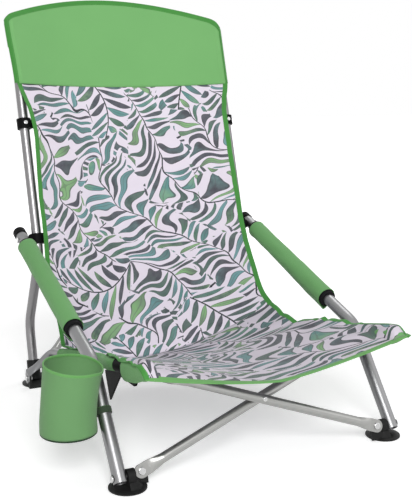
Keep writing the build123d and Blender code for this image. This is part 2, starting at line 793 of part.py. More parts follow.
def cup_body():
    """Fabric cup: a straight wall open at both ends, closed below by its base."""
    floor = Plane(origin=CUP_CENTRE + Vector(0, 0, CUP_RIM_Z - CUP_DEPTH + CUP_BASE_T))
    return sleeve(floor, CUP_R - CUP_WALL, CUP_R, CUP_DEPTH - CUP_BASE_T)


def cup_base():
    """Stiff disc that closes the cup."""
    with BuildPart() as base:
        with BuildSketch(Plane(origin=CUP_CENTRE + Vector(0, 0, CUP_RIM_Z - CUP_DEPTH))):
            Circle(CUP_R)
        extrude(amount=CUP_BASE_T)
        chamfer(base.edges().sort_by(Axis.Z)[0], CUP_BASE_T / 3)
    return base.part


def webbing_loop():
    """Band round the left leg that carries the cup."""
    leg = heading(LEG_PIVOT, ELBOW)
    along = (CUP_Y - LEG_PIVOT[0]) / leg.Y
    start = between(LEG_PIVOT, ELBOW, along - LOOP_LENGTH / 2)
    plane = Plane(origin=place(LEFT, LEG_X, start), z_dir=leg)
    return sleeve(plane, LEG_R + SEAT, LEG_R + SEAT + LOOP_T, LOOP_LENGTH)


FRONT_RISE = rise(FRONT_LUG, FRONT_HUB)
REAR_RISE = rise(REAR_LUG, COLLAR_BRACE)

os.makedirs("parts", exist_ok=True)

for this_side, word in SIDE_NAMES.items():
    save(leg_arm_tube(this_side), f"leg_arm_tube_{word}")
    save(front_foot(this_side), f"front_foot_{word}")
    save(leg_rivet(this_side), f"leg_rivet_{word}")
    save(lug_rivet(this_side, FRONT_PLANE, FRONT_LUG_X), f"front_lug_rivet_{word}")
    save(lug_rivet(this_side, REAR_PLANE, REAR_LUG_X), f"rear_lug_rivet_{word}")
    foam_r = LEG_R + SEAT
    save(sleeve(arm_plane(this_side, PAD_START), foam_r, FOAM_R, PAD_LENGTH), f"arm_foam_{word}")
    cover_start = arm_plane(this_side, PAD_START + COVER_INSET)
    cover = sleeve(cover_start, FOAM_R + SEAT, FOAM_R + SEAT + COVER_T, PAD_LENGTH - 2 * COVER_INSET)
    save(cover, f"arm_cover_{word}")
    save(arm_end_cap(this_side), f"arm_end_cap_{word}")
    save(back_post(this_side), f"back_post_{word}")
    save(rear_foot(this_side), f"rear_foot_{word}")
    save(end_plug(post_plane(this_side, POST_TOP_HEIGHT), POST_R), f"post_cap_{word}")
    save(ring_bracket(this_side), f"ring_bracket_{word}")
    save(ring_rivet(this_side), f"ring_rivet_{word}")
    save(collar(this_side), f"collar_{word}")
    save(collar_rivet(this_side), f"collar_rivet_{word}")
    save(seat_rail(this_side), f"seat_rail_{word}")
    save(rail_rivet(this_side), f"rail_rivet_{word}")
    save(end_plug(rail_plane(this_side, RAIL_LENGTH), RAIL_R), f"rail_cap_{word}")
    save(hub_bracket(this_side), f"hub_bracket_{word}")
    save(hub_rivet(this_side), f"hub_rivet_{word}")
    save(header_sleeve(this_side), f"header_sleeve_{word}")
    save(rail_sleeve(this_side), f"rail_sleeve_{word}")
    save(front_pocket(this_side), f"front_pocket_{word}")
    front_hole = SMALL_PIN_R + RUN if this_side == RIGHT else 0.0
    front = brace(this_side, FRONT_PLANE, FRONT_LUG_X, FRONT_HUB_X, FRONT_RISE, front_hole)
    save(front, f"front_brace_{word}")
    rear = brace(this_side, REAR_PLANE, REAR_LUG_X, REAR_LUG_X, REAR_RISE, SMALL_PIN_R + RUN)
    save(rear, f"rear_brace_{word}")

save(cross_rivet(RIGHT, FRONT_PLANE, FRONT_LUG_X, FRONT_HUB_X, FRONT_RISE), "front_cross_rivet")
save(cross_rivet(0, REAR_PLANE, REAR_LUG_X, REAR_LUG_X, REAR_RISE), "rear_cross_rivet")
save(sling_header(), "sling_header")
save(sling_back(), "sling_back")
save(sling_seat(), "sling_seat")
save(cup_body(), "cup_body")
save(cup_base(), "cup_base")
save(webbing_loop(), "webbing_loop")
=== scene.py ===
"""Low folding camp chair with a sling seat: cloth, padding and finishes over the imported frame."""
from math import copysign, cos, pi, radians, sin, sqrt, tan

import bmesh
import bpy
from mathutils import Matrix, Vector, noise


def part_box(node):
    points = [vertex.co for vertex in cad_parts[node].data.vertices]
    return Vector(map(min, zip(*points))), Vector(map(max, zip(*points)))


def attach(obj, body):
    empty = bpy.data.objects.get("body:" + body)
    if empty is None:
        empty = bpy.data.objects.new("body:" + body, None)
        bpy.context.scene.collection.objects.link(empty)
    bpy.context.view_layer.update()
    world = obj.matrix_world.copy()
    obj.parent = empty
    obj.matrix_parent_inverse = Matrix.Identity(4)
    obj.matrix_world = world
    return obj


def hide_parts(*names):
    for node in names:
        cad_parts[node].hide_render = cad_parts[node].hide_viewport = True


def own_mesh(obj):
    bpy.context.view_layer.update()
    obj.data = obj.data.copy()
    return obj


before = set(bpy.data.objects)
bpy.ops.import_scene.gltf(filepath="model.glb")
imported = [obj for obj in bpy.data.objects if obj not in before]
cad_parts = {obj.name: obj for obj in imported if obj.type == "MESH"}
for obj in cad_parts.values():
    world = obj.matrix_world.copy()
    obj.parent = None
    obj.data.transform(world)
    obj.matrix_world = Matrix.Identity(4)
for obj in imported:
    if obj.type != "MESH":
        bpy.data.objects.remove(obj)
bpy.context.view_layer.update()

MM = 0.001

# Station frame of the chair: x from its middle plane, y back from the front feet, z up
left_post_low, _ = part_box("back_post_left")
_, right_post_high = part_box("back_post_right")
front_foot_low, front_foot_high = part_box("front_foot_left")
MIDDLE_X = (left_post_low[0] + right_post_high[0]) / 2
FRONT_Y = (front_foot_low[1] + front_foot_high[1]) / 2


def chair(x, y, z):
    """Row frame point in metres for a station point in millimetres."""
    return Vector((MIDDLE_X + x * MM, FRONT_Y + y * MM, z * MM))


def smooth(low, high, value):
    """Soft step from 0 at low to 1 at high."""
    share = min(max((value - low) / (high - low), 0.0), 1.0)
    return share * share * (3 - 2 * share)


class Track:
    """Smooth line through station points, read by its share of length from 0 to 1."""

    def __init__(self, *points):
        inner = [Vector(point) for point in points]
        first = inner[0] * 2 - inner[1]
        last = inner[-1] * 2 - inner[-2]
        self.points = [first, *inner, last]
        self.marks = [0.0]
        for start, end in zip(inner, inner[1:]):
            self.marks.append(self.marks[-1] + (end - start).length)

    def at(self, share):
        reach = min(max(share, 0.0), 1.0) * self.marks[-1]
        span = 0
        while span < len(self.marks) - 2 and self.marks[span + 1] < reach:
            span += 1
        t = (reach - self.marks[span]) / (self.marks[span + 1] - self.marks[span])
        before, start, end, after = self.points[span:span + 4]
        pull = (end - before) / 2
        push = (after - start) / 2
        return (
            start * (2 * t**3 - 3 * t**2 + 1) + pull * (t**3 - 2 * t**2 + t)
            + end * (3 * t**2 - 2 * t**3) + push * (t**3 - t**2)
        )


# Shader wiring

class Wire:
    """Output of a shader node that takes part in sums."""

    def __init__(self, finish, socket):
        self.finish = finish
        self.socket = socket

    def maths(self, operation, *others):
        inputs = dict(enumerate((self, *others)))
        return self.finish.node("ShaderNodeMath", {"operation": operation}, inputs)[0]

    def turned(self, operation, other):
        return self.finish.node("ShaderNodeMath", {"operation": operation}, {0: other, 1: self})[0]

    def __add__(self, other):
        return self.maths("ADD", other)

    __radd__ = __add__

    def __sub__(self, other):
        return self.maths("SUBTRACT", other)

    def __rsub__(self, other):
        return self.turned("SUBTRACT", other)

    def __mul__(self, other):
        return self.maths("MULTIPLY", other)

    __rmul__ = __mul__

    def __truediv__(self, other):
        return self.maths("DIVIDE", other)

    def __rtruediv__(self, other):
        return self.turned("DIVIDE", other)

    def __pow__(self, other):
        return self.maths("POWER", other)

    def __abs__(self):
        return self.maths("ABSOLUTE")

    def __lt__(self, other):
        return self.maths("LESS_THAN", other)

    def __gt__(self, other):
        return self.maths("GREATER_THAN", other)


class Bench:
    """A shader tree and the ways to add to it."""

    def __init__(self, tree):
        self.tree = tree

    def node(self, kind, settings=None, inputs=None):
        """Any node: its type, its settings, and the values or wires of its sockets."""
        made = self.tree.nodes.new(kind)
        for key, value in (settings or {}).items():
            if key == "stops":
                ramp = made.color_ramp.elements
                while len(ramp) < len(value):
                    ramp.new(1.0)
                for element, (position, colour) in zip(ramp, value):
                    element.position = position
                    element.color = (*colour, 1.0)
            elif key == "interpolation":
                made.color_ramp.interpolation = value
            else:
                setattr(made, key, value)
        for key, value in (inputs or {}).items():
            self.feed(made.inputs[key], value)
        return [Wire(self, socket) for socket in made.outputs]

    def feed(self, socket, value):
        if isinstance(value, Wire):
            self.tree.links.new(value.socket, socket)
        elif socket.type == "RGBA":
            socket.default_value = (*value, 1.0)
        else:
            socket.default_value = value


class Finish(Bench):
    """A material with a Principled surface and nodes that feed it."""

    def __init__(self, name):
        self.material = bpy.data.materials.new(name)
        self.material.use_nodes = True
        super().__init__(self.material.node_tree)
        self.surface = self.tree.nodes["Principled BSDF"]

    def set(self, **values):
        for key, value in values.items():
            self.feed(self.surface.inputs[key.replace("_", " ").title()], value)

    def mix(self, factor, under, over, blend="MIX"):
        return self.node(
            "ShaderNodeMix", {"data_type": "RGBA", "blend_type": blend}, {0: factor, 6: under, 7: over}
        )[2]

    def place(self):
        return self.node("ShaderNodeTexCoord")[3]

    def cut(self):
        return self.node("ShaderNodeUVMap", {"uv_map": "cut"})[0]

    def noise(self, vector, scale, detail=2.0, roughness=0.5):
        inputs = {"Vector": vector, "Scale": scale, "Detail": detail, "Roughness": roughness}
        return self.node("ShaderNodeTexNoise", None, inputs)[0]

    def split(self, vector):
        return self.node("ShaderNodeSeparateXYZ", None, {0: vector})

    def drifts(self, scale):
        """Two smooth wanderings over the cloth, to both sides of 0."""
        inputs = {"Vector": self.cut(), "Scale": scale, "Detail": 0.0}
        first, second, _ = self.split(self.node("ShaderNodeTexNoise", None, inputs)[1])
        return first - 0.5, second - 0.5

    def draws(self, first, second, seed):
        """Three numbers from 0 to 1 that depend on two counts and a seed."""
        counts = self.node("ShaderNodeCombineXYZ", None, {0: first, 1: second, 2: seed})[0]
        drawn = self.node("ShaderNodeTexWhiteNoise", {"noise_dimensions": "3D"}, {"Vector": counts})
        return self.split(drawn[1])

    def bump(self, height, strength, distance):
        inputs = {"Strength": strength, "Distance": distance, "Height": height}
        return self.node("ShaderNodeBump", None, inputs)[0]

    def catch_light(self, fuzz, shine):
        """Soft fuzz at the rim of a cloth, and the shine of its threads."""
        self.surface.inputs["Sheen Weight"].default_value = fuzz
        self.surface.inputs["Specular IOR Level"].default_value = shine

    def weave(self, across, along, pitch):
        """Plain weave height: warp and weft threads that pass over each other."""
        turns = pi / pitch
        warp = (across * turns).maths("SINE")
        weft = (along * turns).maths("SINE")
        return abs(warp * weft) ** 0.5


WEAVE_PITCH = 0.9 * MM
WEAVE_DEPTH = 0.5 * MM
PRINT_DEPTH = 0.4 * MM
STREAK_DEPTH = 0.2 * MM
GRAIN_DEPTH = 0.3 * MM
STITCH_PITCH = 4 * MM
STITCH_SHARE = 0.68
STITCH_HALF = 0.5 * MM
SEAM_HALF = 1.6 * MM
TAPE_RIB = 1.4 * MM
TAPE_STITCH = 4.5 * MM
TAPE_STITCH_SHARE = 0.7
TAPE_STITCH_ROW = 0.36
TAPE_STITCH_HALF = 0.02
GREEN = (0.205, 0.49, 0.17)
GREEN_SHADE = (0.165, 0.415, 0.14)
BINDING_GREEN = (0.07, 0.30, 0.055)
BINDING_SHADE = (0.045, 0.225, 0.038)


def woven(name, light, dark, stitch=None):
    """Plain woven polyester; stitch gives a panel's width and how far from its sides it is sewn."""
    finish = Finish(name)
    across, along, _ = finish.split(finish.cut())
    threads = finish.weave(across, along, WEAVE_PITCH)
    cloud = finish.noise(finish.place(), 9.0, 3.0)
    fleck = finish.noise(finish.cut(), 900.0, 2.0)
    tone = cloud * 0.55 + fleck * 0.25 + threads * 0.35 - 0.1
    colour = finish.mix(tone, dark, light)
    height = threads * 0.7 + fleck * 0.3
    if stitch:
        width, places = stitch
        side = width / 2 - abs(across - width / 2)
        dash = (along / STITCH_PITCH).maths("FRACT") < STITCH_SHARE
        for distance in places:
            line = (abs(side - distance) < STITCH_HALF) * dash
            seam = abs(side - distance) < SEAM_HALF
            colour = finish.mix(line * 0.55, colour, dark)
            height = height - seam * 0.8 + line * 1.2
    finish.set(base_color=colour, roughness=0.82 - threads * 0.08)
    finish.set(normal=finish.bump(height, 0.35, WEAVE_DEPTH))
    finish.catch_light(0.12, 0.3)
    return finish.material


def taped(name, light, dark):
    """Ribbed binding tape with a line of stitches along its inner side."""
    finish = Finish(name)
    around, along, _ = finish.split(finish.cut())
    ribs = (along * (2 * pi / TAPE_RIB)).maths("SINE") * 0.5 + 0.5
    cloud = finish.noise(finish.place(), 22.0, 3.0)
    dash = (along / TAPE_STITCH).maths("FRACT") < TAPE_STITCH_SHARE
    line = (abs(abs(around - 0.5) - TAPE_STITCH_ROW) < TAPE_STITCH_HALF) * dash
    colour = finish.mix(cloud * 0.7 + ribs * 0.3, dark, light)
    colour = finish.mix(line * 0.35, colour, GREEN)
    finish.set(base_color=colour, roughness=0.72 + ribs * 0.1)
    finish.set(normal=finish.bump(ribs * 0.5 + line, 0.4, WEAVE_DEPTH))
    finish.catch_light(0.1, 0.35)
    return finish.material


GROUND = (0.86, 0.785, 0.89)
GROUND_SHADE = (0.77, 0.70, 0.805)
LEAF_TINTS = [
    (0.0, (0.022, 0.03, 0.042)), (0.22, (0.022, 0.078, 0.058)), (0.38, (0.06, 0.25, 0.225)),
    (0.54, (0.04, 0.155, 0.085)), (0.68, (0.20, 0.44, 0.16)), (0.78, (0.026, 0.036, 0.052)),
    (0.90, (0.11, 0.33, 0.335)),
]
STEM_TINT = (0.022, 0.026, 0.035)
THREAD_GREY = (0.5, 0.51, 0.53)
STALK = 1.4 * MM

# Shape of a printed leaf, in shares of its stem's cell, of its length or of its space on the stem
LEAF_LEAN = 0.95
LEAF_CURL = 1.2
LEAF_SWAY = 0.7
LEAF_WIDTH = 0.35
LEAF_RIM = 0.76
LEAF_RIB = 0.03
SHORTEST_LEAF = 0.0001
STEM_TIP = 0.02

# Space on the stem and greatest length of the leaves, in shares of a cell
VINE_LEAVES = (0.18, 0.66)
SPRIG_LEAVES = (0.12, 0.36)

# How far a vine wanders and bends across and along its row, in cells, and how often in one cell
VINE_WANDER = (2.3, 1.4)
VINE_WANDERS = 0.36
VINE_BEND = (0.34, 0.48)
VINE_BENDS = 2.3

# How long the sprigs of a vine and half a scattered sprig run, in cells, and the cells' sizes in metres
VINE_RUN = 2.3
SPRIG_HALF = 0.45
UNDER_VINE_CELL = 0.105
OVER_VINE_CELL = 0.122
SPRIG_CELL = 0.20


def leaves(finish, ground, under, run, off, key, seed, ends, spacing, stalk):
    """Slender leaves on both sides of a stem, on bare ground that clears what lies under them.

    run and off are places along and across the stem, ends fades the leaves at its tips, and key and
    seed choose their tints and lengths.
    """
    pitch, longest = spacing
    side = off > 0
    reach = abs(off)
    slant = run - reach * LEAF_LEAN + reach * reach * LEAF_CURL
    steps = slant / pitch + side * 0.5
    number = steps.maths("FLOOR")
    tint, size, sway = finish.draws(number + side * 31, key, seed)
    length = ends ** 0.4 * (size * 0.4 + 0.6) * longest + SHORTEST_LEAF
    share = reach / length
    beside = steps - number - 0.5 + (sway - 0.5) * (share * share) * LEAF_SWAY
    swell = ((share * (1 - share)).maths("MAXIMUM", 0.0) * 4) ** 0.9
    belly = swell * (1.1 - share * 0.35) * LEAF_WIDTH
    on_stem = ends > STEM_TIP
    spot = (share < 1.0) * on_stem
    inside = (abs(beside) < belly) * spot
    wash = finish.noise(finish.cut(), 55.0, 2.0)
    first, second = (
        finish.node("ShaderNodeValToRGB", {"stops": LEAF_TINTS, "interpolation": "CONSTANT"}, {0: level})[0]
        for level in (tint, (tint + 0.37).maths("FRACT"))
    )
    blend = (share * 1.1 + (wash - 0.5) * 1.2 - 0.25).maths("MINIMUM", 1.0).maths("MAXIMUM", 0.0)
    body = finish.mix(blend * 0.75, first, second)
    rim = (abs(beside) / (belly + 0.001)) > LEAF_RIM
    rib = abs(beside) < LEAF_RIB
    body = finish.mix((rim * 0.72 + rib * 0.4).maths("MINIMUM", 0.8), body, STEM_TINT)
    printed = finish.mix(inside, finish.mix(spot, under, ground), finish.mix(wash * 0.16, body, ground))
    return finish.mix((reach < stalk) * on_stem, printed, STEM_TINT)


def turned_cut(finish, cell, turn, shift):
    """Across and along the cloth in cells of a size, turned and shifted."""
    inputs = {
        "Vector": finish.cut(), "Location": shift,
        "Rotation": (0, 0, turn), "Scale": (1 / cell, 1 / cell, 1),
    }
    across, along, _ = finish.split(finish.node("ShaderNodeMapping", None, inputs)[0])
    return across, along


def vines(finish, ground, under, cell, turn, shift, seed):
    """Winding stems that grow opposite ways side by side, broken into sprigs, with leaves between."""
    across, along = turned_cut(finish, cell, turn, shift)
    drift, sweep = finish.drifts(VINE_WANDERS / cell)
    bend, lean = finish.drifts(VINE_BENDS / cell)
    across = across + drift * VINE_WANDER[0] + bend * VINE_BEND[0]
    along = along + sweep * VINE_WANDER[1] + lean * VINE_BEND[1]
    row = across.maths("FLOOR")
    grows = (row / 2).maths("FRACT") * 4 - 1
    run = along * grows
    part = run / VINE_RUN + row * 0.37
    sprig = part.maths("FLOOR")
    spread = (part - sprig) * 2 - 1
    ends = (1 - spread ** 8).maths("MAXIMUM", 0.0)
    off = across - row - 0.5
    key = row * 7 + sprig * 3
    return leaves(finish, ground, under, run, off, key, seed, ends, VINE_LEAVES, STALK / cell)


def sprigs(finish, ground, under, cell, turn, shift, seed, kept):
    """One layer of scattered curling sprigs; kept is the share of places that hold one."""
    across, along = turned_cut(finish, cell, turn, shift)
    column = across.maths("FLOOR")
    row = along.maths("FLOOR")
    spin, curl, pick = finish.draws(column, row, seed)
    x = across - column - 0.5
    y = along - row - 0.5
    angle = spin * (2 * pi)
    cosine = angle.maths("COSINE")
    sine = angle.maths("SINE")
    run = x * cosine + y * sine
    off = y * cosine - x * sine
    off = off - (curl - 0.5) * (run * run * 2.6 - 0.1)
    ends = (1 - (run / SPRIG_HALF) ** 2).maths("MAXIMUM", 0.0) * (pick < kept)
    key = column * 7 + row * 3
    return leaves(finish, ground, under, run, off, key, seed + 5, ends, SPRIG_LEAVES, STALK / cell)


def leafy(name, scale, depth):
    """Printed sling cloth: vines and sprigs in greens and slate on pale lilac; depth multiplies it all
    darker as painted shade.
    """
    finish = Finish(name)
    across, along, _ = finish.split(finish.cut())
    threads = finish.weave(across, along, WEAVE_PITCH)
    cloud = finish.noise(finish.place(), 7.0, 2.0)
    ground = finish.mix(cloud * 0.3, GROUND, GROUND_SHADE)
    colour = vines(finish, ground, ground, UNDER_VINE_CELL * scale, 2.3, (0.74, 0.55, 0.0), 17.0)
    colour = vines(finish, ground, colour, OVER_VINE_CELL * scale, 0.62, (0.31, 0.12, 0.0), 3.0)
    colour = sprigs(finish, ground, colour, SPRIG_CELL * scale, 1.9, (0.05, 0.67, 0.0), 11.0, 0.6)
    colour = finish.mix(0.02 + threads * 0.04, colour, THREAD_GREY)
    # painted shade: a depth below 1 darkens the whole print
    colour = finish.mix(1.0, colour, (depth, depth, depth), "MULTIPLY")
    finish.set(base_color=colour, roughness=0.84 - threads * 0.08)
    finish.set(normal=finish.bump(threads, 0.3, PRINT_DEPTH))
    finish.catch_light(0.1, 0.3)
    return finish.material


def satin_steel(name, light, dark, rough):
    """Drawn steel tube: fine streaks, a few handling marks, softly varied gloss."""
    finish = Finish(name)
    place = finish.place()
    streak = finish.noise(place, 420.0, 2.0, 0.6)
    cloud = finish.noise(place, 14.0, 3.0)
    mark = (finish.noise(place, 60.0, 4.0, 0.7) > 0.66) * 0.5
    colour = finish.mix(cloud * 0.7 + streak * 0.3, dark, light)
    gloss = rough + (streak - 0.5) * 0.12 + (cloud - 0.5) * 0.1 + mark * 0.08
    finish.set(base_color=colour, roughness=gloss, metallic=1.0)
    finish.set(normal=finish.bump(streak, 0.05, STREAK_DEPTH))
    return finish.material


def moulded(name, light, dark, rough, grain, shine):
    """Moulded or foamed black plastic with a fine grain and paler rubbed spots."""
    finish = Finish(name)
    place = finish.place()
    fine = finish.noise(place, grain, 3.0, 0.6)
    cloud = finish.noise(place, 30.0, 3.0)
    rubbed = (cloud - 0.56).maths("MAXIMUM", 0.0) * 2.2
    colour = finish.mix((rubbed + fine * 0.25).maths("MINIMUM", 1.0), dark, light)
    finish.set(base_color=colour, roughness=rough + (fine - 0.5) * 0.2 - rubbed * 0.1)
    finish.set(normal=finish.bump(fine, 0.3, GRAIN_DEPTH))
    finish.surface.inputs["Specular IOR Level"].default_value = shine
    return finish.material


HEAD_CUT = (0.486, 0.185)
HEAD_SEAMS = (39 * MM, 46 * MM)
green_cloth = woven("green cloth", GREEN, GREEN_SHADE)
head_cloth = woven("head panel cloth", GREEN, GREEN_SHADE, stitch=(HEAD_CUT[0], HEAD_SEAMS))
# Arm covers, cup and rail sleeves are the header's green cloth in darker copies: painted shade
cover_cloth_painted_shade = woven("cover cloth in painted shade", (0.165, 0.40, 0.143), (0.133, 0.335, 0.115))
cup_green_painted_shade = woven("cup cloth in painted shade", (0.15, 0.325, 0.13), (0.122, 0.27, 0.105))
sleeve_cloth_painted_shade = woven("sleeve cloth in painted shade", (0.12, 0.36, 0.10), (0.09, 0.29, 0.075))
binding_tape = taped("binding tape", BINDING_GREEN, BINDING_SHADE)
hem_tape = taped("hem tape", (0.15, 0.39, 0.115), (0.11, 0.31, 0.085))
back_cloth = leafy("printed back cloth", 1.0, 0.98)
# The seat is the back's printed cloth; its depth of 0.8 is painted shade
seat_cloth_painted_shade = leafy("printed seat cloth in painted shade", 1.3, 0.8)
# The cup's webbing is made near black so it reads as shade on the leg: painted shade
webbing_cloth_painted_shade = taped("cup webbing in painted shade", (0.03, 0.055, 0.028), (0.018, 0.034, 0.017))
post_steel = satin_steel("post steel", (0.29, 0.285, 0.29), (0.21, 0.205, 0.21), 0.36)
leg_steel = satin_steel("leg steel", (0.31, 0.31, 0.315), (0.225, 0.225, 0.23), 0.38)
rail_steel = satin_steel("rail steel", (0.26, 0.26, 0.265), (0.19, 0.19, 0.195), 0.36)
brace_steel = satin_steel("brace steel", (0.40, 0.40, 0.388), (0.30, 0.30, 0.292), 0.34)
rivet_steel = satin_steel("rivet steel", (0.66, 0.66, 0.66), (0.5, 0.5, 0.5), 0.24)
black_plastic = moulded("black plastic", (0.014, 0.014, 0.0145), (0.004, 0.004, 0.0042), 0.5, 500.0, 0.04)
foot_plastic = moulded("foot plastic", (0.03, 0.03, 0.03), (0.009, 0.009, 0.009), 0.5, 420.0, 0.15)
foam_black = moulded("foam", (0.035, 0.035, 0.036), (0.008, 0.008, 0.009), 0.9, 1500.0, 0.1)
base_board = moulded("cup base", (0.03, 0.07, 0.03), (0.012, 0.03, 0.014), 0.6, 600.0, 0.2)

NODE_FINISHES = {
    "leg_arm_tube": leg_steel, "back_post": post_steel, "seat_rail": rail_steel,
    "front_brace": brace_steel, "rear_brace": brace_steel,
    "front_foot": foot_plastic, "rear_foot": foot_plastic,
    "arm_foam": foam_black, "cup_base": base_board,
    "arm_end_cap": black_plastic, "post_cap": black_plastic, "rail_cap": black_plastic,
    "ring_bracket": black_plastic, "collar": black_plastic, "hub_bracket": black_plastic,
}
for node_name, node_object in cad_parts.items():
    plain_name = node_name.removesuffix("_left").removesuffix("_right")
    finish_used = rivet_steel if plain_name.endswith("rivet") else NODE_FINISHES.get(plain_name)
    if finish_used:
        for node_slot in node_object.material_slots:
            node_slot.material = finish_used


# Making pieces
SAME_POINT = 0.0005 * MM


def closer(across, along):
    """Grid lines that stand closer together towards both sides and towards the front."""
    turn = 0.42 * pi
    return 0.5 + 0.5 * sin((2 * across - 1) * turn) / sin(turn), sin(along * turn) / sin(turn)


def panel(columns, rows, place, size, ease=None):
    """Flat grid of cloth; place bends it by shares across and along, and size is its cut in metres."""
    bm = bmesh.new()
    cut = bm.loops.layers.uv.new("cut")
    bmesh.ops.create_grid(bm, x_segments=columns, y_segments=rows, size=0.5)
    if ease:
        for vert in bm.verts:
            across, along = ease(vert.co.x + 0.5, vert.co.y + 0.5)
            vert.co = (across - 0.5, along - 0.5, 0.0)
    for face in bm.faces:
        for loop in face.loops:
            loop[cut].uv = ((loop.vert.co.x + 0.5) * size[0], (loop.vert.co.y + 0.5) * size[1])
    for vert in bm.verts:
        vert.co = place(vert.co.x + 0.5, vert.co.y + 0.5)
    return bm


def roll(around, along, place, size, closed=True):
    """Grid of cloth rolled into a tube, its long seam joined and its ends closed or left open."""
    bm = panel(around, along, place, size)
    bmesh.ops.remove_doubles(bm, verts=bm.verts, dist=SAME_POINT)
    if closed:
        bmesh.ops.holes_fill(bm, edges=[edge for edge in bm.edges if edge.is_boundary])
    bmesh.ops.recalc_face_normals(bm, faces=bm.faces)
    return bm


def piece(name, bm, material, body, thickness=0.0):
    """Finished object that rides on a body; a single sheet of cloth is given its thickness."""
    mesh = bpy.data.meshes.new(name)
    bm.to_mesh(mesh)
    bm.free()
    mesh.materials.append(material)
    made = bpy.data.objects.new(name, mesh)
    bpy.context.scene.collection.objects.link(made)
    if thickness:
        wall = made.modifiers.new("thickness", "SOLIDIFY")
        wall.thickness = thickness
        wall.offset = 0.0
        bpy.context.view_layer.update()
        solid = bpy.data.meshes.new_from_object(made.evaluated_get(bpy.context.evaluated_depsgraph_get()))
        made.modifiers.clear()
        made.data = solid
        solid.name = name
    made.data.shade_smooth()
    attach(made, body)
    return made


def power(value, exponent):
    """Signed power, for rounding a profile."""
    return copysign(abs(value)**exponent, value)


def tape(edge, width, thick, steps, length):
    """Binding folded over an edge; edge gives a point, the way into the cloth and the cloth's normal."""
    def place(around, along):
        point, inward, normal = edge(along)
        turn = 2 * pi * around
        depth = width * (0.5 + 0.5 * power(cos(turn), 0.5)) - thick / 2
        return point + inward * depth + normal * (thick / 2 * power(sin(turn), 0.6))
    return roll(16, steps, place, (1.0, length))


def cloth_edge(surface, path, toward):
    """Edge line of a surface for a binding: path gives its shares, toward the shares into the cloth."""
    step = 0.004

    def edge(along):
        low = max(along - step, 0.0)
        high = min(along + step, 1.0)
        here = path(along)
        point = surface(*here)
        run = surface(*path(high)) - surface(*path(low))
        way = toward(along)
        inner = surface(here[0] + way[0] * step, here[1] + way[1] * step) - point
        run.normalize()
        inward = (inner - run * inner.dot(run)).normalized()
        return point, inward, inward.cross(run).normalized()
    return edge


LINEN = 1.2 * MM
CUP_LINEN = 1.6 * MM
TAPE_THICK = 2.6 * MM
TAPE_WIDTH = 10.5 * MM
SEAT_TAPE_WIDTH = TAPE_WIDTH * 0.85
HEM_WIDTH = TAPE_WIDTH * 1.1
RIM_WIDTH = 4.5 * MM


def side_bindings(name, sheet, width, length, body):
    """Binding tapes down the left and right edges of a sheet."""
    made = []
    for word, share, way in (("left", 0.0, 1.0), ("right", 1.0, -1.0)):
        edge = cloth_edge(sheet, lambda along: (share, along), lambda along: (way, 0.0))
        folded = tape(edge, width, TAPE_THICK, 120, length)
        made.append(piece(f"{name}_{word}", folded, binding_tape, body))
    return made


# Post and rail lines in the side view
POST_SLOPE = tan(radians(17.0))
POST_POINT = (606.6, 635.1)


def post_y(z):
    """Station y of the post's straight run at a height."""
    return POST_POINT[0] + (z - POST_POINT[1]) * POST_SLOPE


POST_X = 225.0
RAIL_START = (500.0, 75.0)
RAIL_WAY = (-0.9755, 0.2203)
RAIL_BACK_X = 206.0
RAIL_FRONT_X = 222.0
RAIL_FLARE = (285.0, 415.0)


def on_rail(distance):
    """Side view point of the rail's straight run."""
    return RAIL_START[0] + RAIL_WAY[0] * distance, RAIL_START[1] + RAIL_WAY[1] * distance


def rail_x(distance):
    """Sideways place of the rail, which flares out towards the front."""
    return RAIL_BACK_X + (RAIL_FRONT_X - RAIL_BACK_X) * smooth(*RAIL_FLARE, distance)


# Head panel
HEAD_HALF = 236.0
HEAD_FRONT = 16.2
HEAD_SAG = 46.0
HEAD_SIDE = 222.0
HEAD_CREST = 781.0
HEAD_EASE = 0.45 * pi
ARCH_REACH = 200.0
ARCH_DROP = 31.0
CORNER_R = 27.0
LEFT_CORNER_R = 17.0
CORNER_SLACK = 2.0
CORNER_PULL = 8.0
SEAM_MIDDLE = 598.5
SEAM_RISE = 7.5
ROUND_WIDTH = 15.0
OUTLINE_SIDE = 0.2
OUTLINE_BLEND = 0.012


def head_top(x):
    """Height of the head panel's arched top edge, rounded at its corners, less so on the left."""
    reach = abs(x)
    drop = ARCH_DROP * (reach / ARCH_REACH)**2
    radius = LEFT_CORNER_R if x < 0 else CORNER_R
    over = max(reach - HEAD_HALF + radius - CORNER_SLACK, 0.0)
    return HEAD_CREST - drop - radius + sqrt(max(radius**2 - over**2, 0.0))


def head_sway(x, z):
    """Sideways place of a point of the head panel: the left corner is drawn outwards."""
    return x - CORNER_PULL * smooth(600.0, 745.0, z) * min(x / HEAD_HALF, 0.0)**2


def head_low(x):
    """Height of the seam between the head panel and the printed back."""
    return SEAM_MIDDLE + SEAM_RISE * (x / POST_X)**2


def head_offset(x):
    """How far the head panel lies behind the posts' line: bowed back, but in front of it at the sides."""
    reach = abs(x)
    if reach < HEAD_SIDE:
        return -HEAD_FRONT + (HEAD_SAG + HEAD_FRONT) * (1 - (reach / HEAD_SIDE)**2)
    round_over = max(reach - POST_X, 0.0) / ROUND_WIDTH
    return -HEAD_FRONT * sqrt(1 - round_over**2)


def head_x(across):
    """Columns of the head panel, closer together towards its sides."""
    return HEAD_HALF * sin((2 * across - 1) * HEAD_EASE) / sin(HEAD_EASE)


def head_front(across, along):
    """Front face of the head panel, with a slight ripple."""
    x = head_x(across)
    z = head_low(x) + (head_top(x) - head_low(x)) * along
    ripple = noise.noise(Vector((x * 0.018, z * 0.012, 3.0))) * 1.4 * (1 - (x / HEAD_HALF)**4)
    return chair(head_sway(x, z), post_y(z) + head_offset(x) + ripple, z)


head_panel = piece(
    "head_panel", panel(72, 30, head_front, HEAD_CUT), head_cloth, "post_left", LINEN
)


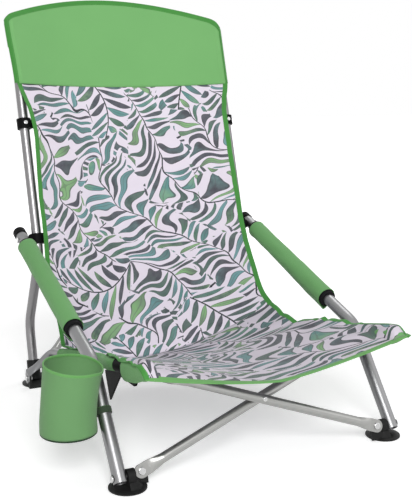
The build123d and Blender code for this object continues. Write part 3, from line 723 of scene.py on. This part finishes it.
def head_outline(along):
    """Up the left side of the head panel, over its top and down its right side."""
    if along < OUTLINE_SIDE:
        return 0.0, along / OUTLINE_SIDE
    if along > 1 - OUTLINE_SIDE:
        return 1.0, (1 - along) / OUTLINE_SIDE
    return (along - OUTLINE_SIDE) / (1 - 2 * OUTLINE_SIDE), 1.0


def head_inward(along):
    """Way from the head panel's outline into its cloth, turning softly at the corners."""
    left = 1 - smooth(OUTLINE_SIDE - OUTLINE_BLEND, OUTLINE_SIDE + OUTLINE_BLEND, along)
    right = smooth(1 - OUTLINE_SIDE - OUTLINE_BLEND, 1 - OUTLINE_SIDE + OUTLINE_BLEND, along)
    return left - right, -(1 - left) * (1 - right)


head_edge = cloth_edge(head_front, head_outline, head_inward)
head_binding = piece(
    "head_binding", tape(head_edge, TAPE_WIDTH, TAPE_THICK, 150, 0.80), binding_tape,
    "post_left",
)

# Pockets behind the head panel: reach to the side, and distance behind the posts' line
pocket_line = Track(
    (236.0, -11.0, 0), (238.2, -5.0, 0), (237.3, 4.0, 0), (232.6, 11.0, 0), (225.0, 13.0, 0),
    (206.0, 9.6, 0), (186.0, 4.0, 0),
)
POCKET_LOW = 676.0
POCKET_RISE = 14.0
POCKET_GAP = 1.4
POCKET_CROWN = 0.88
RIGHT_POCKET_TUCK = 5.0


def head_pocket(side):
    """Back layer of the head panel's corner, from its side edge round a post and over the post's top."""
    top_half = HEAD_HALF if side < 0 else HEAD_HALF - RIGHT_POCKET_TUCK

    def place(across, along):
        reach, behind, _ = pocket_line.at(across)
        edge = min(reach, HEAD_HALF)
        front = head_offset(edge) + POCKET_GAP
        low = POCKET_LOW + POCKET_RISE * across**2
        z = low + (head_top(side * min(reach, top_half)) - 1.0 - low) * along
        crown = 1 - smooth(POCKET_CROWN, 1.0, along)
        out = side * (edge + (reach - edge) * crown)
        sway = (head_sway(out, z) - out) * (1 - crown * smooth(0.0, 0.2, across))
        return chair(out + sway, post_y(z) + front + max(behind - front, 0.0) * crown, z)
    return panel(32, 40, place, (0.09, 0.07))


# Printed back: its two bound edges and its middle line, from the head panel's seam down
back_left = Track(
    (-233, 584.0, 612), (-230, 577.0, 596), (-223, 569.5, 575), (-216, 562.0, 552), (-211, 554.0, 520),
    (-210.5, 546.0, 495), (-212, 534.5, 455), (-215, 516.5, 396), (-215, 503.0, 352), (-215, 489.5, 305),
    (-215.5, 481.0, 255), (-214, 468.0, 220), (-212, 453.0, 188), (-209, 433.0, 148), (-207, 420.0, 109),
)
back_middle = Track(
    (0, 645.5, 606), (0, 622.0, 540), (0, 590.0, 460), (0, 546.0, 325), (0, 511.0, 215),
    (0, 482.0, 120), (0, 446.0, 58),
)
back_right = Track(
    (233, 584.0, 612), (229, 576.0, 597), (222, 567.0, 572), (217, 555.0, 540), (215, 536.5, 495),
    (215, 519.0, 445), (215, 493.0, 375), (215, 467.5, 311), (215, 440.0, 261), (215, 412.0, 222),
    (215, 383.5, 185), (214, 345.0, 166),
)
BACK_CUT = (0.472, 0.66)
RIPPLE = 2.2
PLEATS = 46.0
BACK_GATHER = 0.8


def bowed(left, middle, right, across, along, sharpness):
    """Point of a sheet slung between two edge lines and sagging to a middle line."""
    u = 2 * across - 1
    start = left.at(along)
    end = right.at(along)
    chord = start * (1 - across) + end * across
    sag = middle.at(along) - (start + end) / 2
    return chord + sag * (1 - abs(u)**sharpness)


def creases(across, along, seed, gather):
    """Soft ripples of slack cloth, and pleats as deep as gather close to the side edges."""
    broad = noise.noise(Vector((across * 4.0, along * 6.0, seed))) * RIPPLE
    side = min(across, 1 - across)
    pleat = sin(along * PLEATS + noise.noise(Vector((along * 9.0, across * 3.0, seed + 4.0))) * 5.0)
    return broad * smooth(0.0, 0.12, side) + pleat * gather * (1 - smooth(0.0, 0.22, side))


def back_sheet(across, along):
    """Printed back, slung between its bound edges."""
    point = bowed(back_left, back_middle, back_right, across, along, 2.0)
    fade = smooth(0.0, 0.12, along) * (1 - smooth(0.9, 1.0, along))
    point.y += creases(across, along, 7.0, BACK_GATHER) * fade
    return chair(*point)


back_panel = piece(
    "back_panel", panel(72, 110, back_sheet, BACK_CUT), back_cloth, "post_left", LINEN
)
back_bindings = side_bindings("back_binding", back_sheet, TAPE_WIDTH, 0.62, "post_left")

# Printed seat: its two bound edges and its middle line, from the back to the front hem
seat_left = Track(
    (-207, 420.0, 109), (-205.5, 318.0, 128.5), (-206, 228.0, 141), (-211, 160.0, 162),
    (-222, 118.0, 175.5), (-229, 70.0, 184), (-231.5, 33.0, 189.5), (-234, -20.0, 200),
    (-234.2, -50.0, 197), (-233.5, -65.0, 189),
)
seat_middle = Track(
    (0, 446.0, 58), (0, 330.0, 82), (0, 207.0, 112), (0, 110.0, 131), (0, 20.0, 145), (0, -57.0, 151)
)
seat_right = Track(
    (214, 345.0, 166), (215, 292.0, 153.5), (217, 254.0, 149), (221, 213.0, 159.5), (222, 173.0, 172.5),
    (222.5, 137.0, 177.5), (224, 103.0, 183), (226, 49.0, 189), (227, 20.0, 190.5), (228, -9.0, 191),
    (233.5, -50.0, 195.5), (238, -64.0, 196.5),
)
SEAT_CUT = (0.472, 0.56)
SEAT_GATHER = 2.2

# Cloth over a rail: its rise above the rail's line, its reach to each side, and where it begins and ends
SEAT_OVER = 13.4
SEAT_BESIDE = 11.8
OVER_RAIL_BACK = (110.0, 170.0)
OVER_RAIL_FRONT = (-64.0, -42.0)


def seat_sheet(across, along):
    """Slung between its edges, and lying over the tops of the rails towards the front."""
    point = bowed(seat_left, seat_middle, seat_right, across, along, 2.0 - 0.65 * along)
    fade = smooth(0.0, 0.1, along) * (1 - smooth(0.93, 1.0, along))
    point.z += creases(across, along, 19.0, SEAT_GATHER) * fade
    distance = (point.y - RAIL_START[0]) / RAIL_WAY[0]
    beside = min(abs(abs(point.x) - rail_x(distance)) / SEAT_BESIDE, 1.0)
    crest = on_rail(distance)[1] + SEAT_OVER * sqrt(1 - beside**2)
    lift = max(crest - point.z, 0.0) if beside < 1.0 else 0.0
    point.z += lift * (1 - smooth(*OVER_RAIL_BACK, point.y)) * smooth(*OVER_RAIL_FRONT, point.y)
    return chair(*point)


seat_panel = piece(
    "seat_panel", panel(96, 120, seat_sheet, SEAT_CUT, closer), seat_cloth_painted_shade,
    "rail_left", LINEN,
)
seat_bindings = side_bindings("seat_binding", seat_sheet, SEAT_TAPE_WIDTH, 0.52, "rail_left")
hem_line = cloth_edge(seat_sheet, lambda along: (along, 1.0), lambda along: (0.0, -1.0))
seat_hem = piece(
    "seat_hem", tape(hem_line, HEM_WIDTH, TAPE_THICK, 120, 0.47), hem_tape, "rail_left"
)

# Sleeves and pockets on the rails
SLEEVE_R = 10.4
SLEEVE_START = 78.0
SLEEVE_END = 439.0
FRONT_START = 476.8
FRONT_RUN = 100.0
FRONT_HALF = 11.4
FRONT_RISE = 11.3
FRONT_DROOP = 13.0
FRONT_DRAWN = 5.0
CORNER_SHARE = 0.476
CORNER_SPREAD = 0.02
CORNER_ALONG = 0.988


def rail_sleeve(side):
    """Sewn sleeve round the rail, slightly wrinkled."""
    def place(around, along):
        distance = SLEEVE_START + (SLEEVE_END - SLEEVE_START) * along
        turn = 2 * pi * around
        y, z = on_rail(distance)
        wrinkle = noise.noise(Vector((distance * 0.09, cos(turn) * 1.2, sin(turn) * 1.2 + side))) * 0.7
        radius = SLEEVE_R + max(wrinkle, -0.3)
        return chair(side * (rail_x(distance) + cos(turn) * radius), y, z + sin(turn) * radius)
    return roll(28, 90, place, (0.066, 0.36), closed=False)


def front_pocket(side):
    """Pocket over the rail's front end, slack below it and drawn flat under the seat's corner."""
    def place(around, along):
        y, z = on_rail(FRONT_START + FRONT_RUN * along)
        turn = 2 * pi * around
        out = cos(turn)
        up = sin(turn)
        droop = FRONT_DROOP - FRONT_DRAWN * smooth(0.3, 0.7, along) if up < 0 else 0.0
        tuck = noise.noise(Vector((along * 5.0, out, up))) * 0.6
        x = side * (RAIL_FRONT_X + (FRONT_HALF + tuck) * out)
        around_rail = chair(x, y, z + (FRONT_RISE + droop) * up)
        corner = seat_sheet(0.5 + side * (CORNER_SHARE + CORNER_SPREAD * out), CORNER_ALONG)
        under_seat = corner + Vector((0, 0, (0.7 * up - 2.2) * MM))
        return around_rail.lerp(under_seat, smooth(0.72, 0.96, along))
    return roll(32, 48, place, (0.085, 0.105), closed=False)


# Armrest covers
ARM_X = 252.0
ARM_TOP = Vector((506.0, 306.0))
ARM_ELBOW = Vector((114.0, 172.0))
ARM_WAY = (ARM_ELBOW - ARM_TOP).normalized()
ARM_UP = Vector((ARM_WAY.y, -ARM_WAY.x))
COVER_R = 16.9
COVER_START = 29.0
COVER_END = 318.0
COVER_HEM = 0.7
FIN_BACK = 2.0
FIN_GROWTH = 7.0


def arm_cover(side):
    """Fabric tube over the armrest's foam, with a sewn fin along its underside."""
    def place(around, along):
        distance = COVER_START + (COVER_END - COVER_START) * along
        middle = ARM_TOP + ARM_WAY * distance
        turn = 2 * pi * around
        down = max(-sin(turn), 0.0)
        hem = COVER_HEM * (smooth(0.035, 0.0, along) + smooth(0.965, 1.0, along))
        slack = noise.noise(Vector((along * 7.0, cos(turn) * 1.5, sin(turn) * 1.5 + side * 3.0))) * 0.8
        radius = COVER_R + hem + slack * (1 - smooth(0.94, 1.0, along))
        fin = (FIN_BACK + FIN_GROWTH * smooth(0.15, 0.8, along)) * down**9
        out = cos(turn) * radius
        up = sin(turn) * (radius + fin)
        spot = middle + ARM_UP * up
        return chair(side * (ARM_X + out), spot.x, spot.y)
    return roll(48, 110, place, (0.115, 0.29), closed=False)


# Cup holder
CUP_X = -308.9
CUP_Y = 62.0
CUP_R = 43.4
CUP_RIM = 184.0
CUP_LOW = 82.2
CUP_CUT = (0.278, 0.109)
CUP_LEAN = 8.5
CUP_PULL = 13.0
PULL_TURN = 0.72


def cup_wall(around, along):
    """Side of the cup: slack cloth on a round base, its rim drawn towards the leg."""
    turn = 2 * pi * around
    lift = along**2
    pull = max(cos(turn - PULL_TURN), 0.0)**3 * smooth(0.45, 1.0, along)
    ripple = noise.noise(Vector((cos(turn) * 1.3, sin(turn) * 1.3, along * 2.2)))
    slack = ripple * 1.1 * smooth(0.0, 0.2, along)
    radius = CUP_R + slack - 0.8 * sin(pi * along) + CUP_PULL * pull
    dip = (4.0 * sin(turn) - 5.0 * cos(turn) - 8.0 * max(cos(turn), 0.0)**4) * lift
    x = CUP_X + cos(turn) * radius + CUP_LEAN * lift
    y = CUP_Y + sin(turn) * radius
    return chair(x, y, CUP_LOW + (CUP_RIM + dip - CUP_LOW) * along)


cup_cloth = piece(
    "cup_cloth", roll(72, 36, cup_wall, CUP_CUT, closed=False), cup_green_painted_shade,
    "arm_left", CUP_LINEN,
)
cup_edge = cloth_edge(cup_wall, lambda along: (along, 1.0), lambda along: (0.0, -1.0))
cup_rim = piece(
    "cup_rim", tape(cup_edge, RIM_WIDTH, TAPE_THICK, 96, 0.29), hem_tape, "arm_left"
)

# Strap that hangs the cup on the left leg
LEG_LOW = Vector((-2.0, 20.0))
LEG_WAY = (ARM_ELBOW - LEG_LOW).normalized()
LEG_SQUARE = Vector((-LEG_WAY.y, LEG_WAY.x))
BAND_R = 12.1
BAND_HALF_THICK = 0.85
BAND_HALF_WIDTH = 5.5
BAND_LENGTH = 0.076


def webbing_band(around, along):
    """Flat strap with rounded edges, in a loop square to the leg."""
    turn = 2 * pi * along
    rim = 2 * pi * around
    radius = BAND_R + BAND_HALF_THICK * power(sin(rim), 0.7)
    run = (CUP_Y - LEG_LOW.x) / LEG_WAY.x + BAND_HALF_WIDTH * power(cos(rim), 0.4)
    spot = LEG_LOW + LEG_WAY * run + LEG_SQUARE * (sin(turn) * radius)
    return chair(-ARM_X + cos(turn) * radius, spot.x, spot.y)


band = roll(16, 48, webbing_band, (1.0, BAND_LENGTH), closed=False)
# near black strap: painted shade
cup_loop = piece("cup_loop", band, webbing_cloth_painted_shade, "arm_left")

# Pieces that come as a left and a right one
for side, word in ((-1, "left"), (1, "right")):
    piece(
        f"head_pocket_{word}", head_pocket(side), green_cloth, f"post_{word}", LINEN
    )
    piece(
        f"rail_sleeve_cloth_{word}", rail_sleeve(side), sleeve_cloth_painted_shade, f"rail_{word}", LINEN
    )
    piece(
        f"front_pocket_cloth_{word}", front_pocket(side), cover_cloth_painted_shade, f"rail_{word}", LINEN
    )
    piece(
        f"arm_cover_cloth_{word}", arm_cover(side), cover_cloth_painted_shade, f"arm_{word}", LINEN
    )
    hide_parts(f"header_sleeve_{word}")
    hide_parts(f"rail_sleeve_{word}")
    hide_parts(f"front_pocket_{word}")
    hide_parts(f"arm_cover_{word}")

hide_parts("sling_header")
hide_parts("sling_back")
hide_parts("sling_seat")
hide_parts("cup_body")
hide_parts("webbing_loop")

# Each piece of slung cloth gets a mesh of its own
for slung in (head_panel, head_binding, back_panel, *back_bindings, seat_panel, *seat_bindings, seat_hem):
    chair(-HEAD_HALF, 0, 0)
    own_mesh(slung)


# Floor, light and camera

def white_where_seen(bench):
    """1 for what the camera, a reflection or a view through glass meets, 0 for other light."""
    path = bench.node("ShaderNodeLightPath")
    return (path[0] + path[3] + path[6]).maths("MINIMUM", 1.0)


FLOOR_HALF = 14.0
GLOW_START = 0.7
GLOW_WIDTH = 1.6
GLOW_NEAR = 0.42
GLOW_GROWTH = 0.64
floor_bm = bmesh.new()
bmesh.ops.create_grid(floor_bm, x_segments=1, y_segments=1, size=FLOOR_HALF)
floor_mesh = bpy.data.meshes.new("floor")
floor_bm.to_mesh(floor_mesh)
floor_bm.free()
floor = bpy.data.objects.new("floor", floor_mesh)
bpy.context.scene.collection.objects.link(floor)
floor_paper = Finish("floor paper")
floor_x, floor_y, _ = floor_paper.split(floor_paper.place())
away = (floor_x * floor_x + floor_y * floor_y) ** 0.5
far = ((away - GLOW_START) / GLOW_WIDTH).maths("MAXIMUM", 0.0).maths("MINIMUM", 1.0)
glow = white_where_seen(floor_paper) * (far * GLOW_GROWTH + GLOW_NEAR)
floor_paper.set(
    base_color=(0.88, 0.88, 0.88), roughness=0.9, emission_strength=1.0,
    emission_color=floor_paper.mix(glow, (0.0, 0.0, 0.0), (1.0, 1.0, 1.0)),
)
floor_mesh.materials.append(floor_paper.material)

ROOM_LIGHT = 0.30
world = bpy.data.worlds.new("studio")
bpy.context.scene.world = world
world.use_nodes = True
room = Bench(world.node_tree)
backdrop = world.node_tree.nodes["Background"]
room.feed(backdrop.inputs["Color"], (1.0, 1.0, 1.0))
room.feed(backdrop.inputs["Strength"], white_where_seen(room) * (1 - ROOM_LIGHT) + ROOM_LIGHT)

AIM = Vector((0.0, 0.0, 0.30))
for lamp_name, place, width, watts in (
    ("key softbox", (-1.0, -2.6, 1.8), 1.3, 70.0),
    ("fill softbox", (2.6, -1.7, 1.5), 2.2, 11.0),
    ("back softbox", (1.2, 1.2, 2.5), 1.0, 14.0),
):
    lamp = bpy.data.lights.new(lamp_name, "AREA")
    lamp.energy = watts
    lamp.size = width
    holder = bpy.data.objects.new(lamp_name, lamp)
    holder.location = place
    holder.rotation_euler = (Vector(place) - AIM).to_track_quat("Z", "Y").to_euler()
    bpy.context.scene.collection.objects.link(holder)

CAMERA_PLACE = (-698.7, -1204.5, 598.3)
CAMERA_LENS = 65.0
CAMERA_AZIMUTH = radians(-26.217)
CAMERA_RISE = radians(10.220)
camera_data = bpy.data.cameras.new("camera")
camera_data.lens = CAMERA_LENS
camera_data.sensor_width = 36.0
camera = bpy.data.objects.new("camera", camera_data)
camera.location = chair(*CAMERA_PLACE)
camera_back = Vector((
    sin(CAMERA_AZIMUTH) * cos(CAMERA_RISE), -cos(CAMERA_AZIMUTH) * cos(CAMERA_RISE), sin(CAMERA_RISE)
))
camera.rotation_euler = camera_back.to_track_quat("Z", "Y").to_euler()
bpy.context.scene.collection.objects.link(camera)
bpy.context.scene.camera = camera
bpy.context.scene.view_settings.view_transform = "Standard"
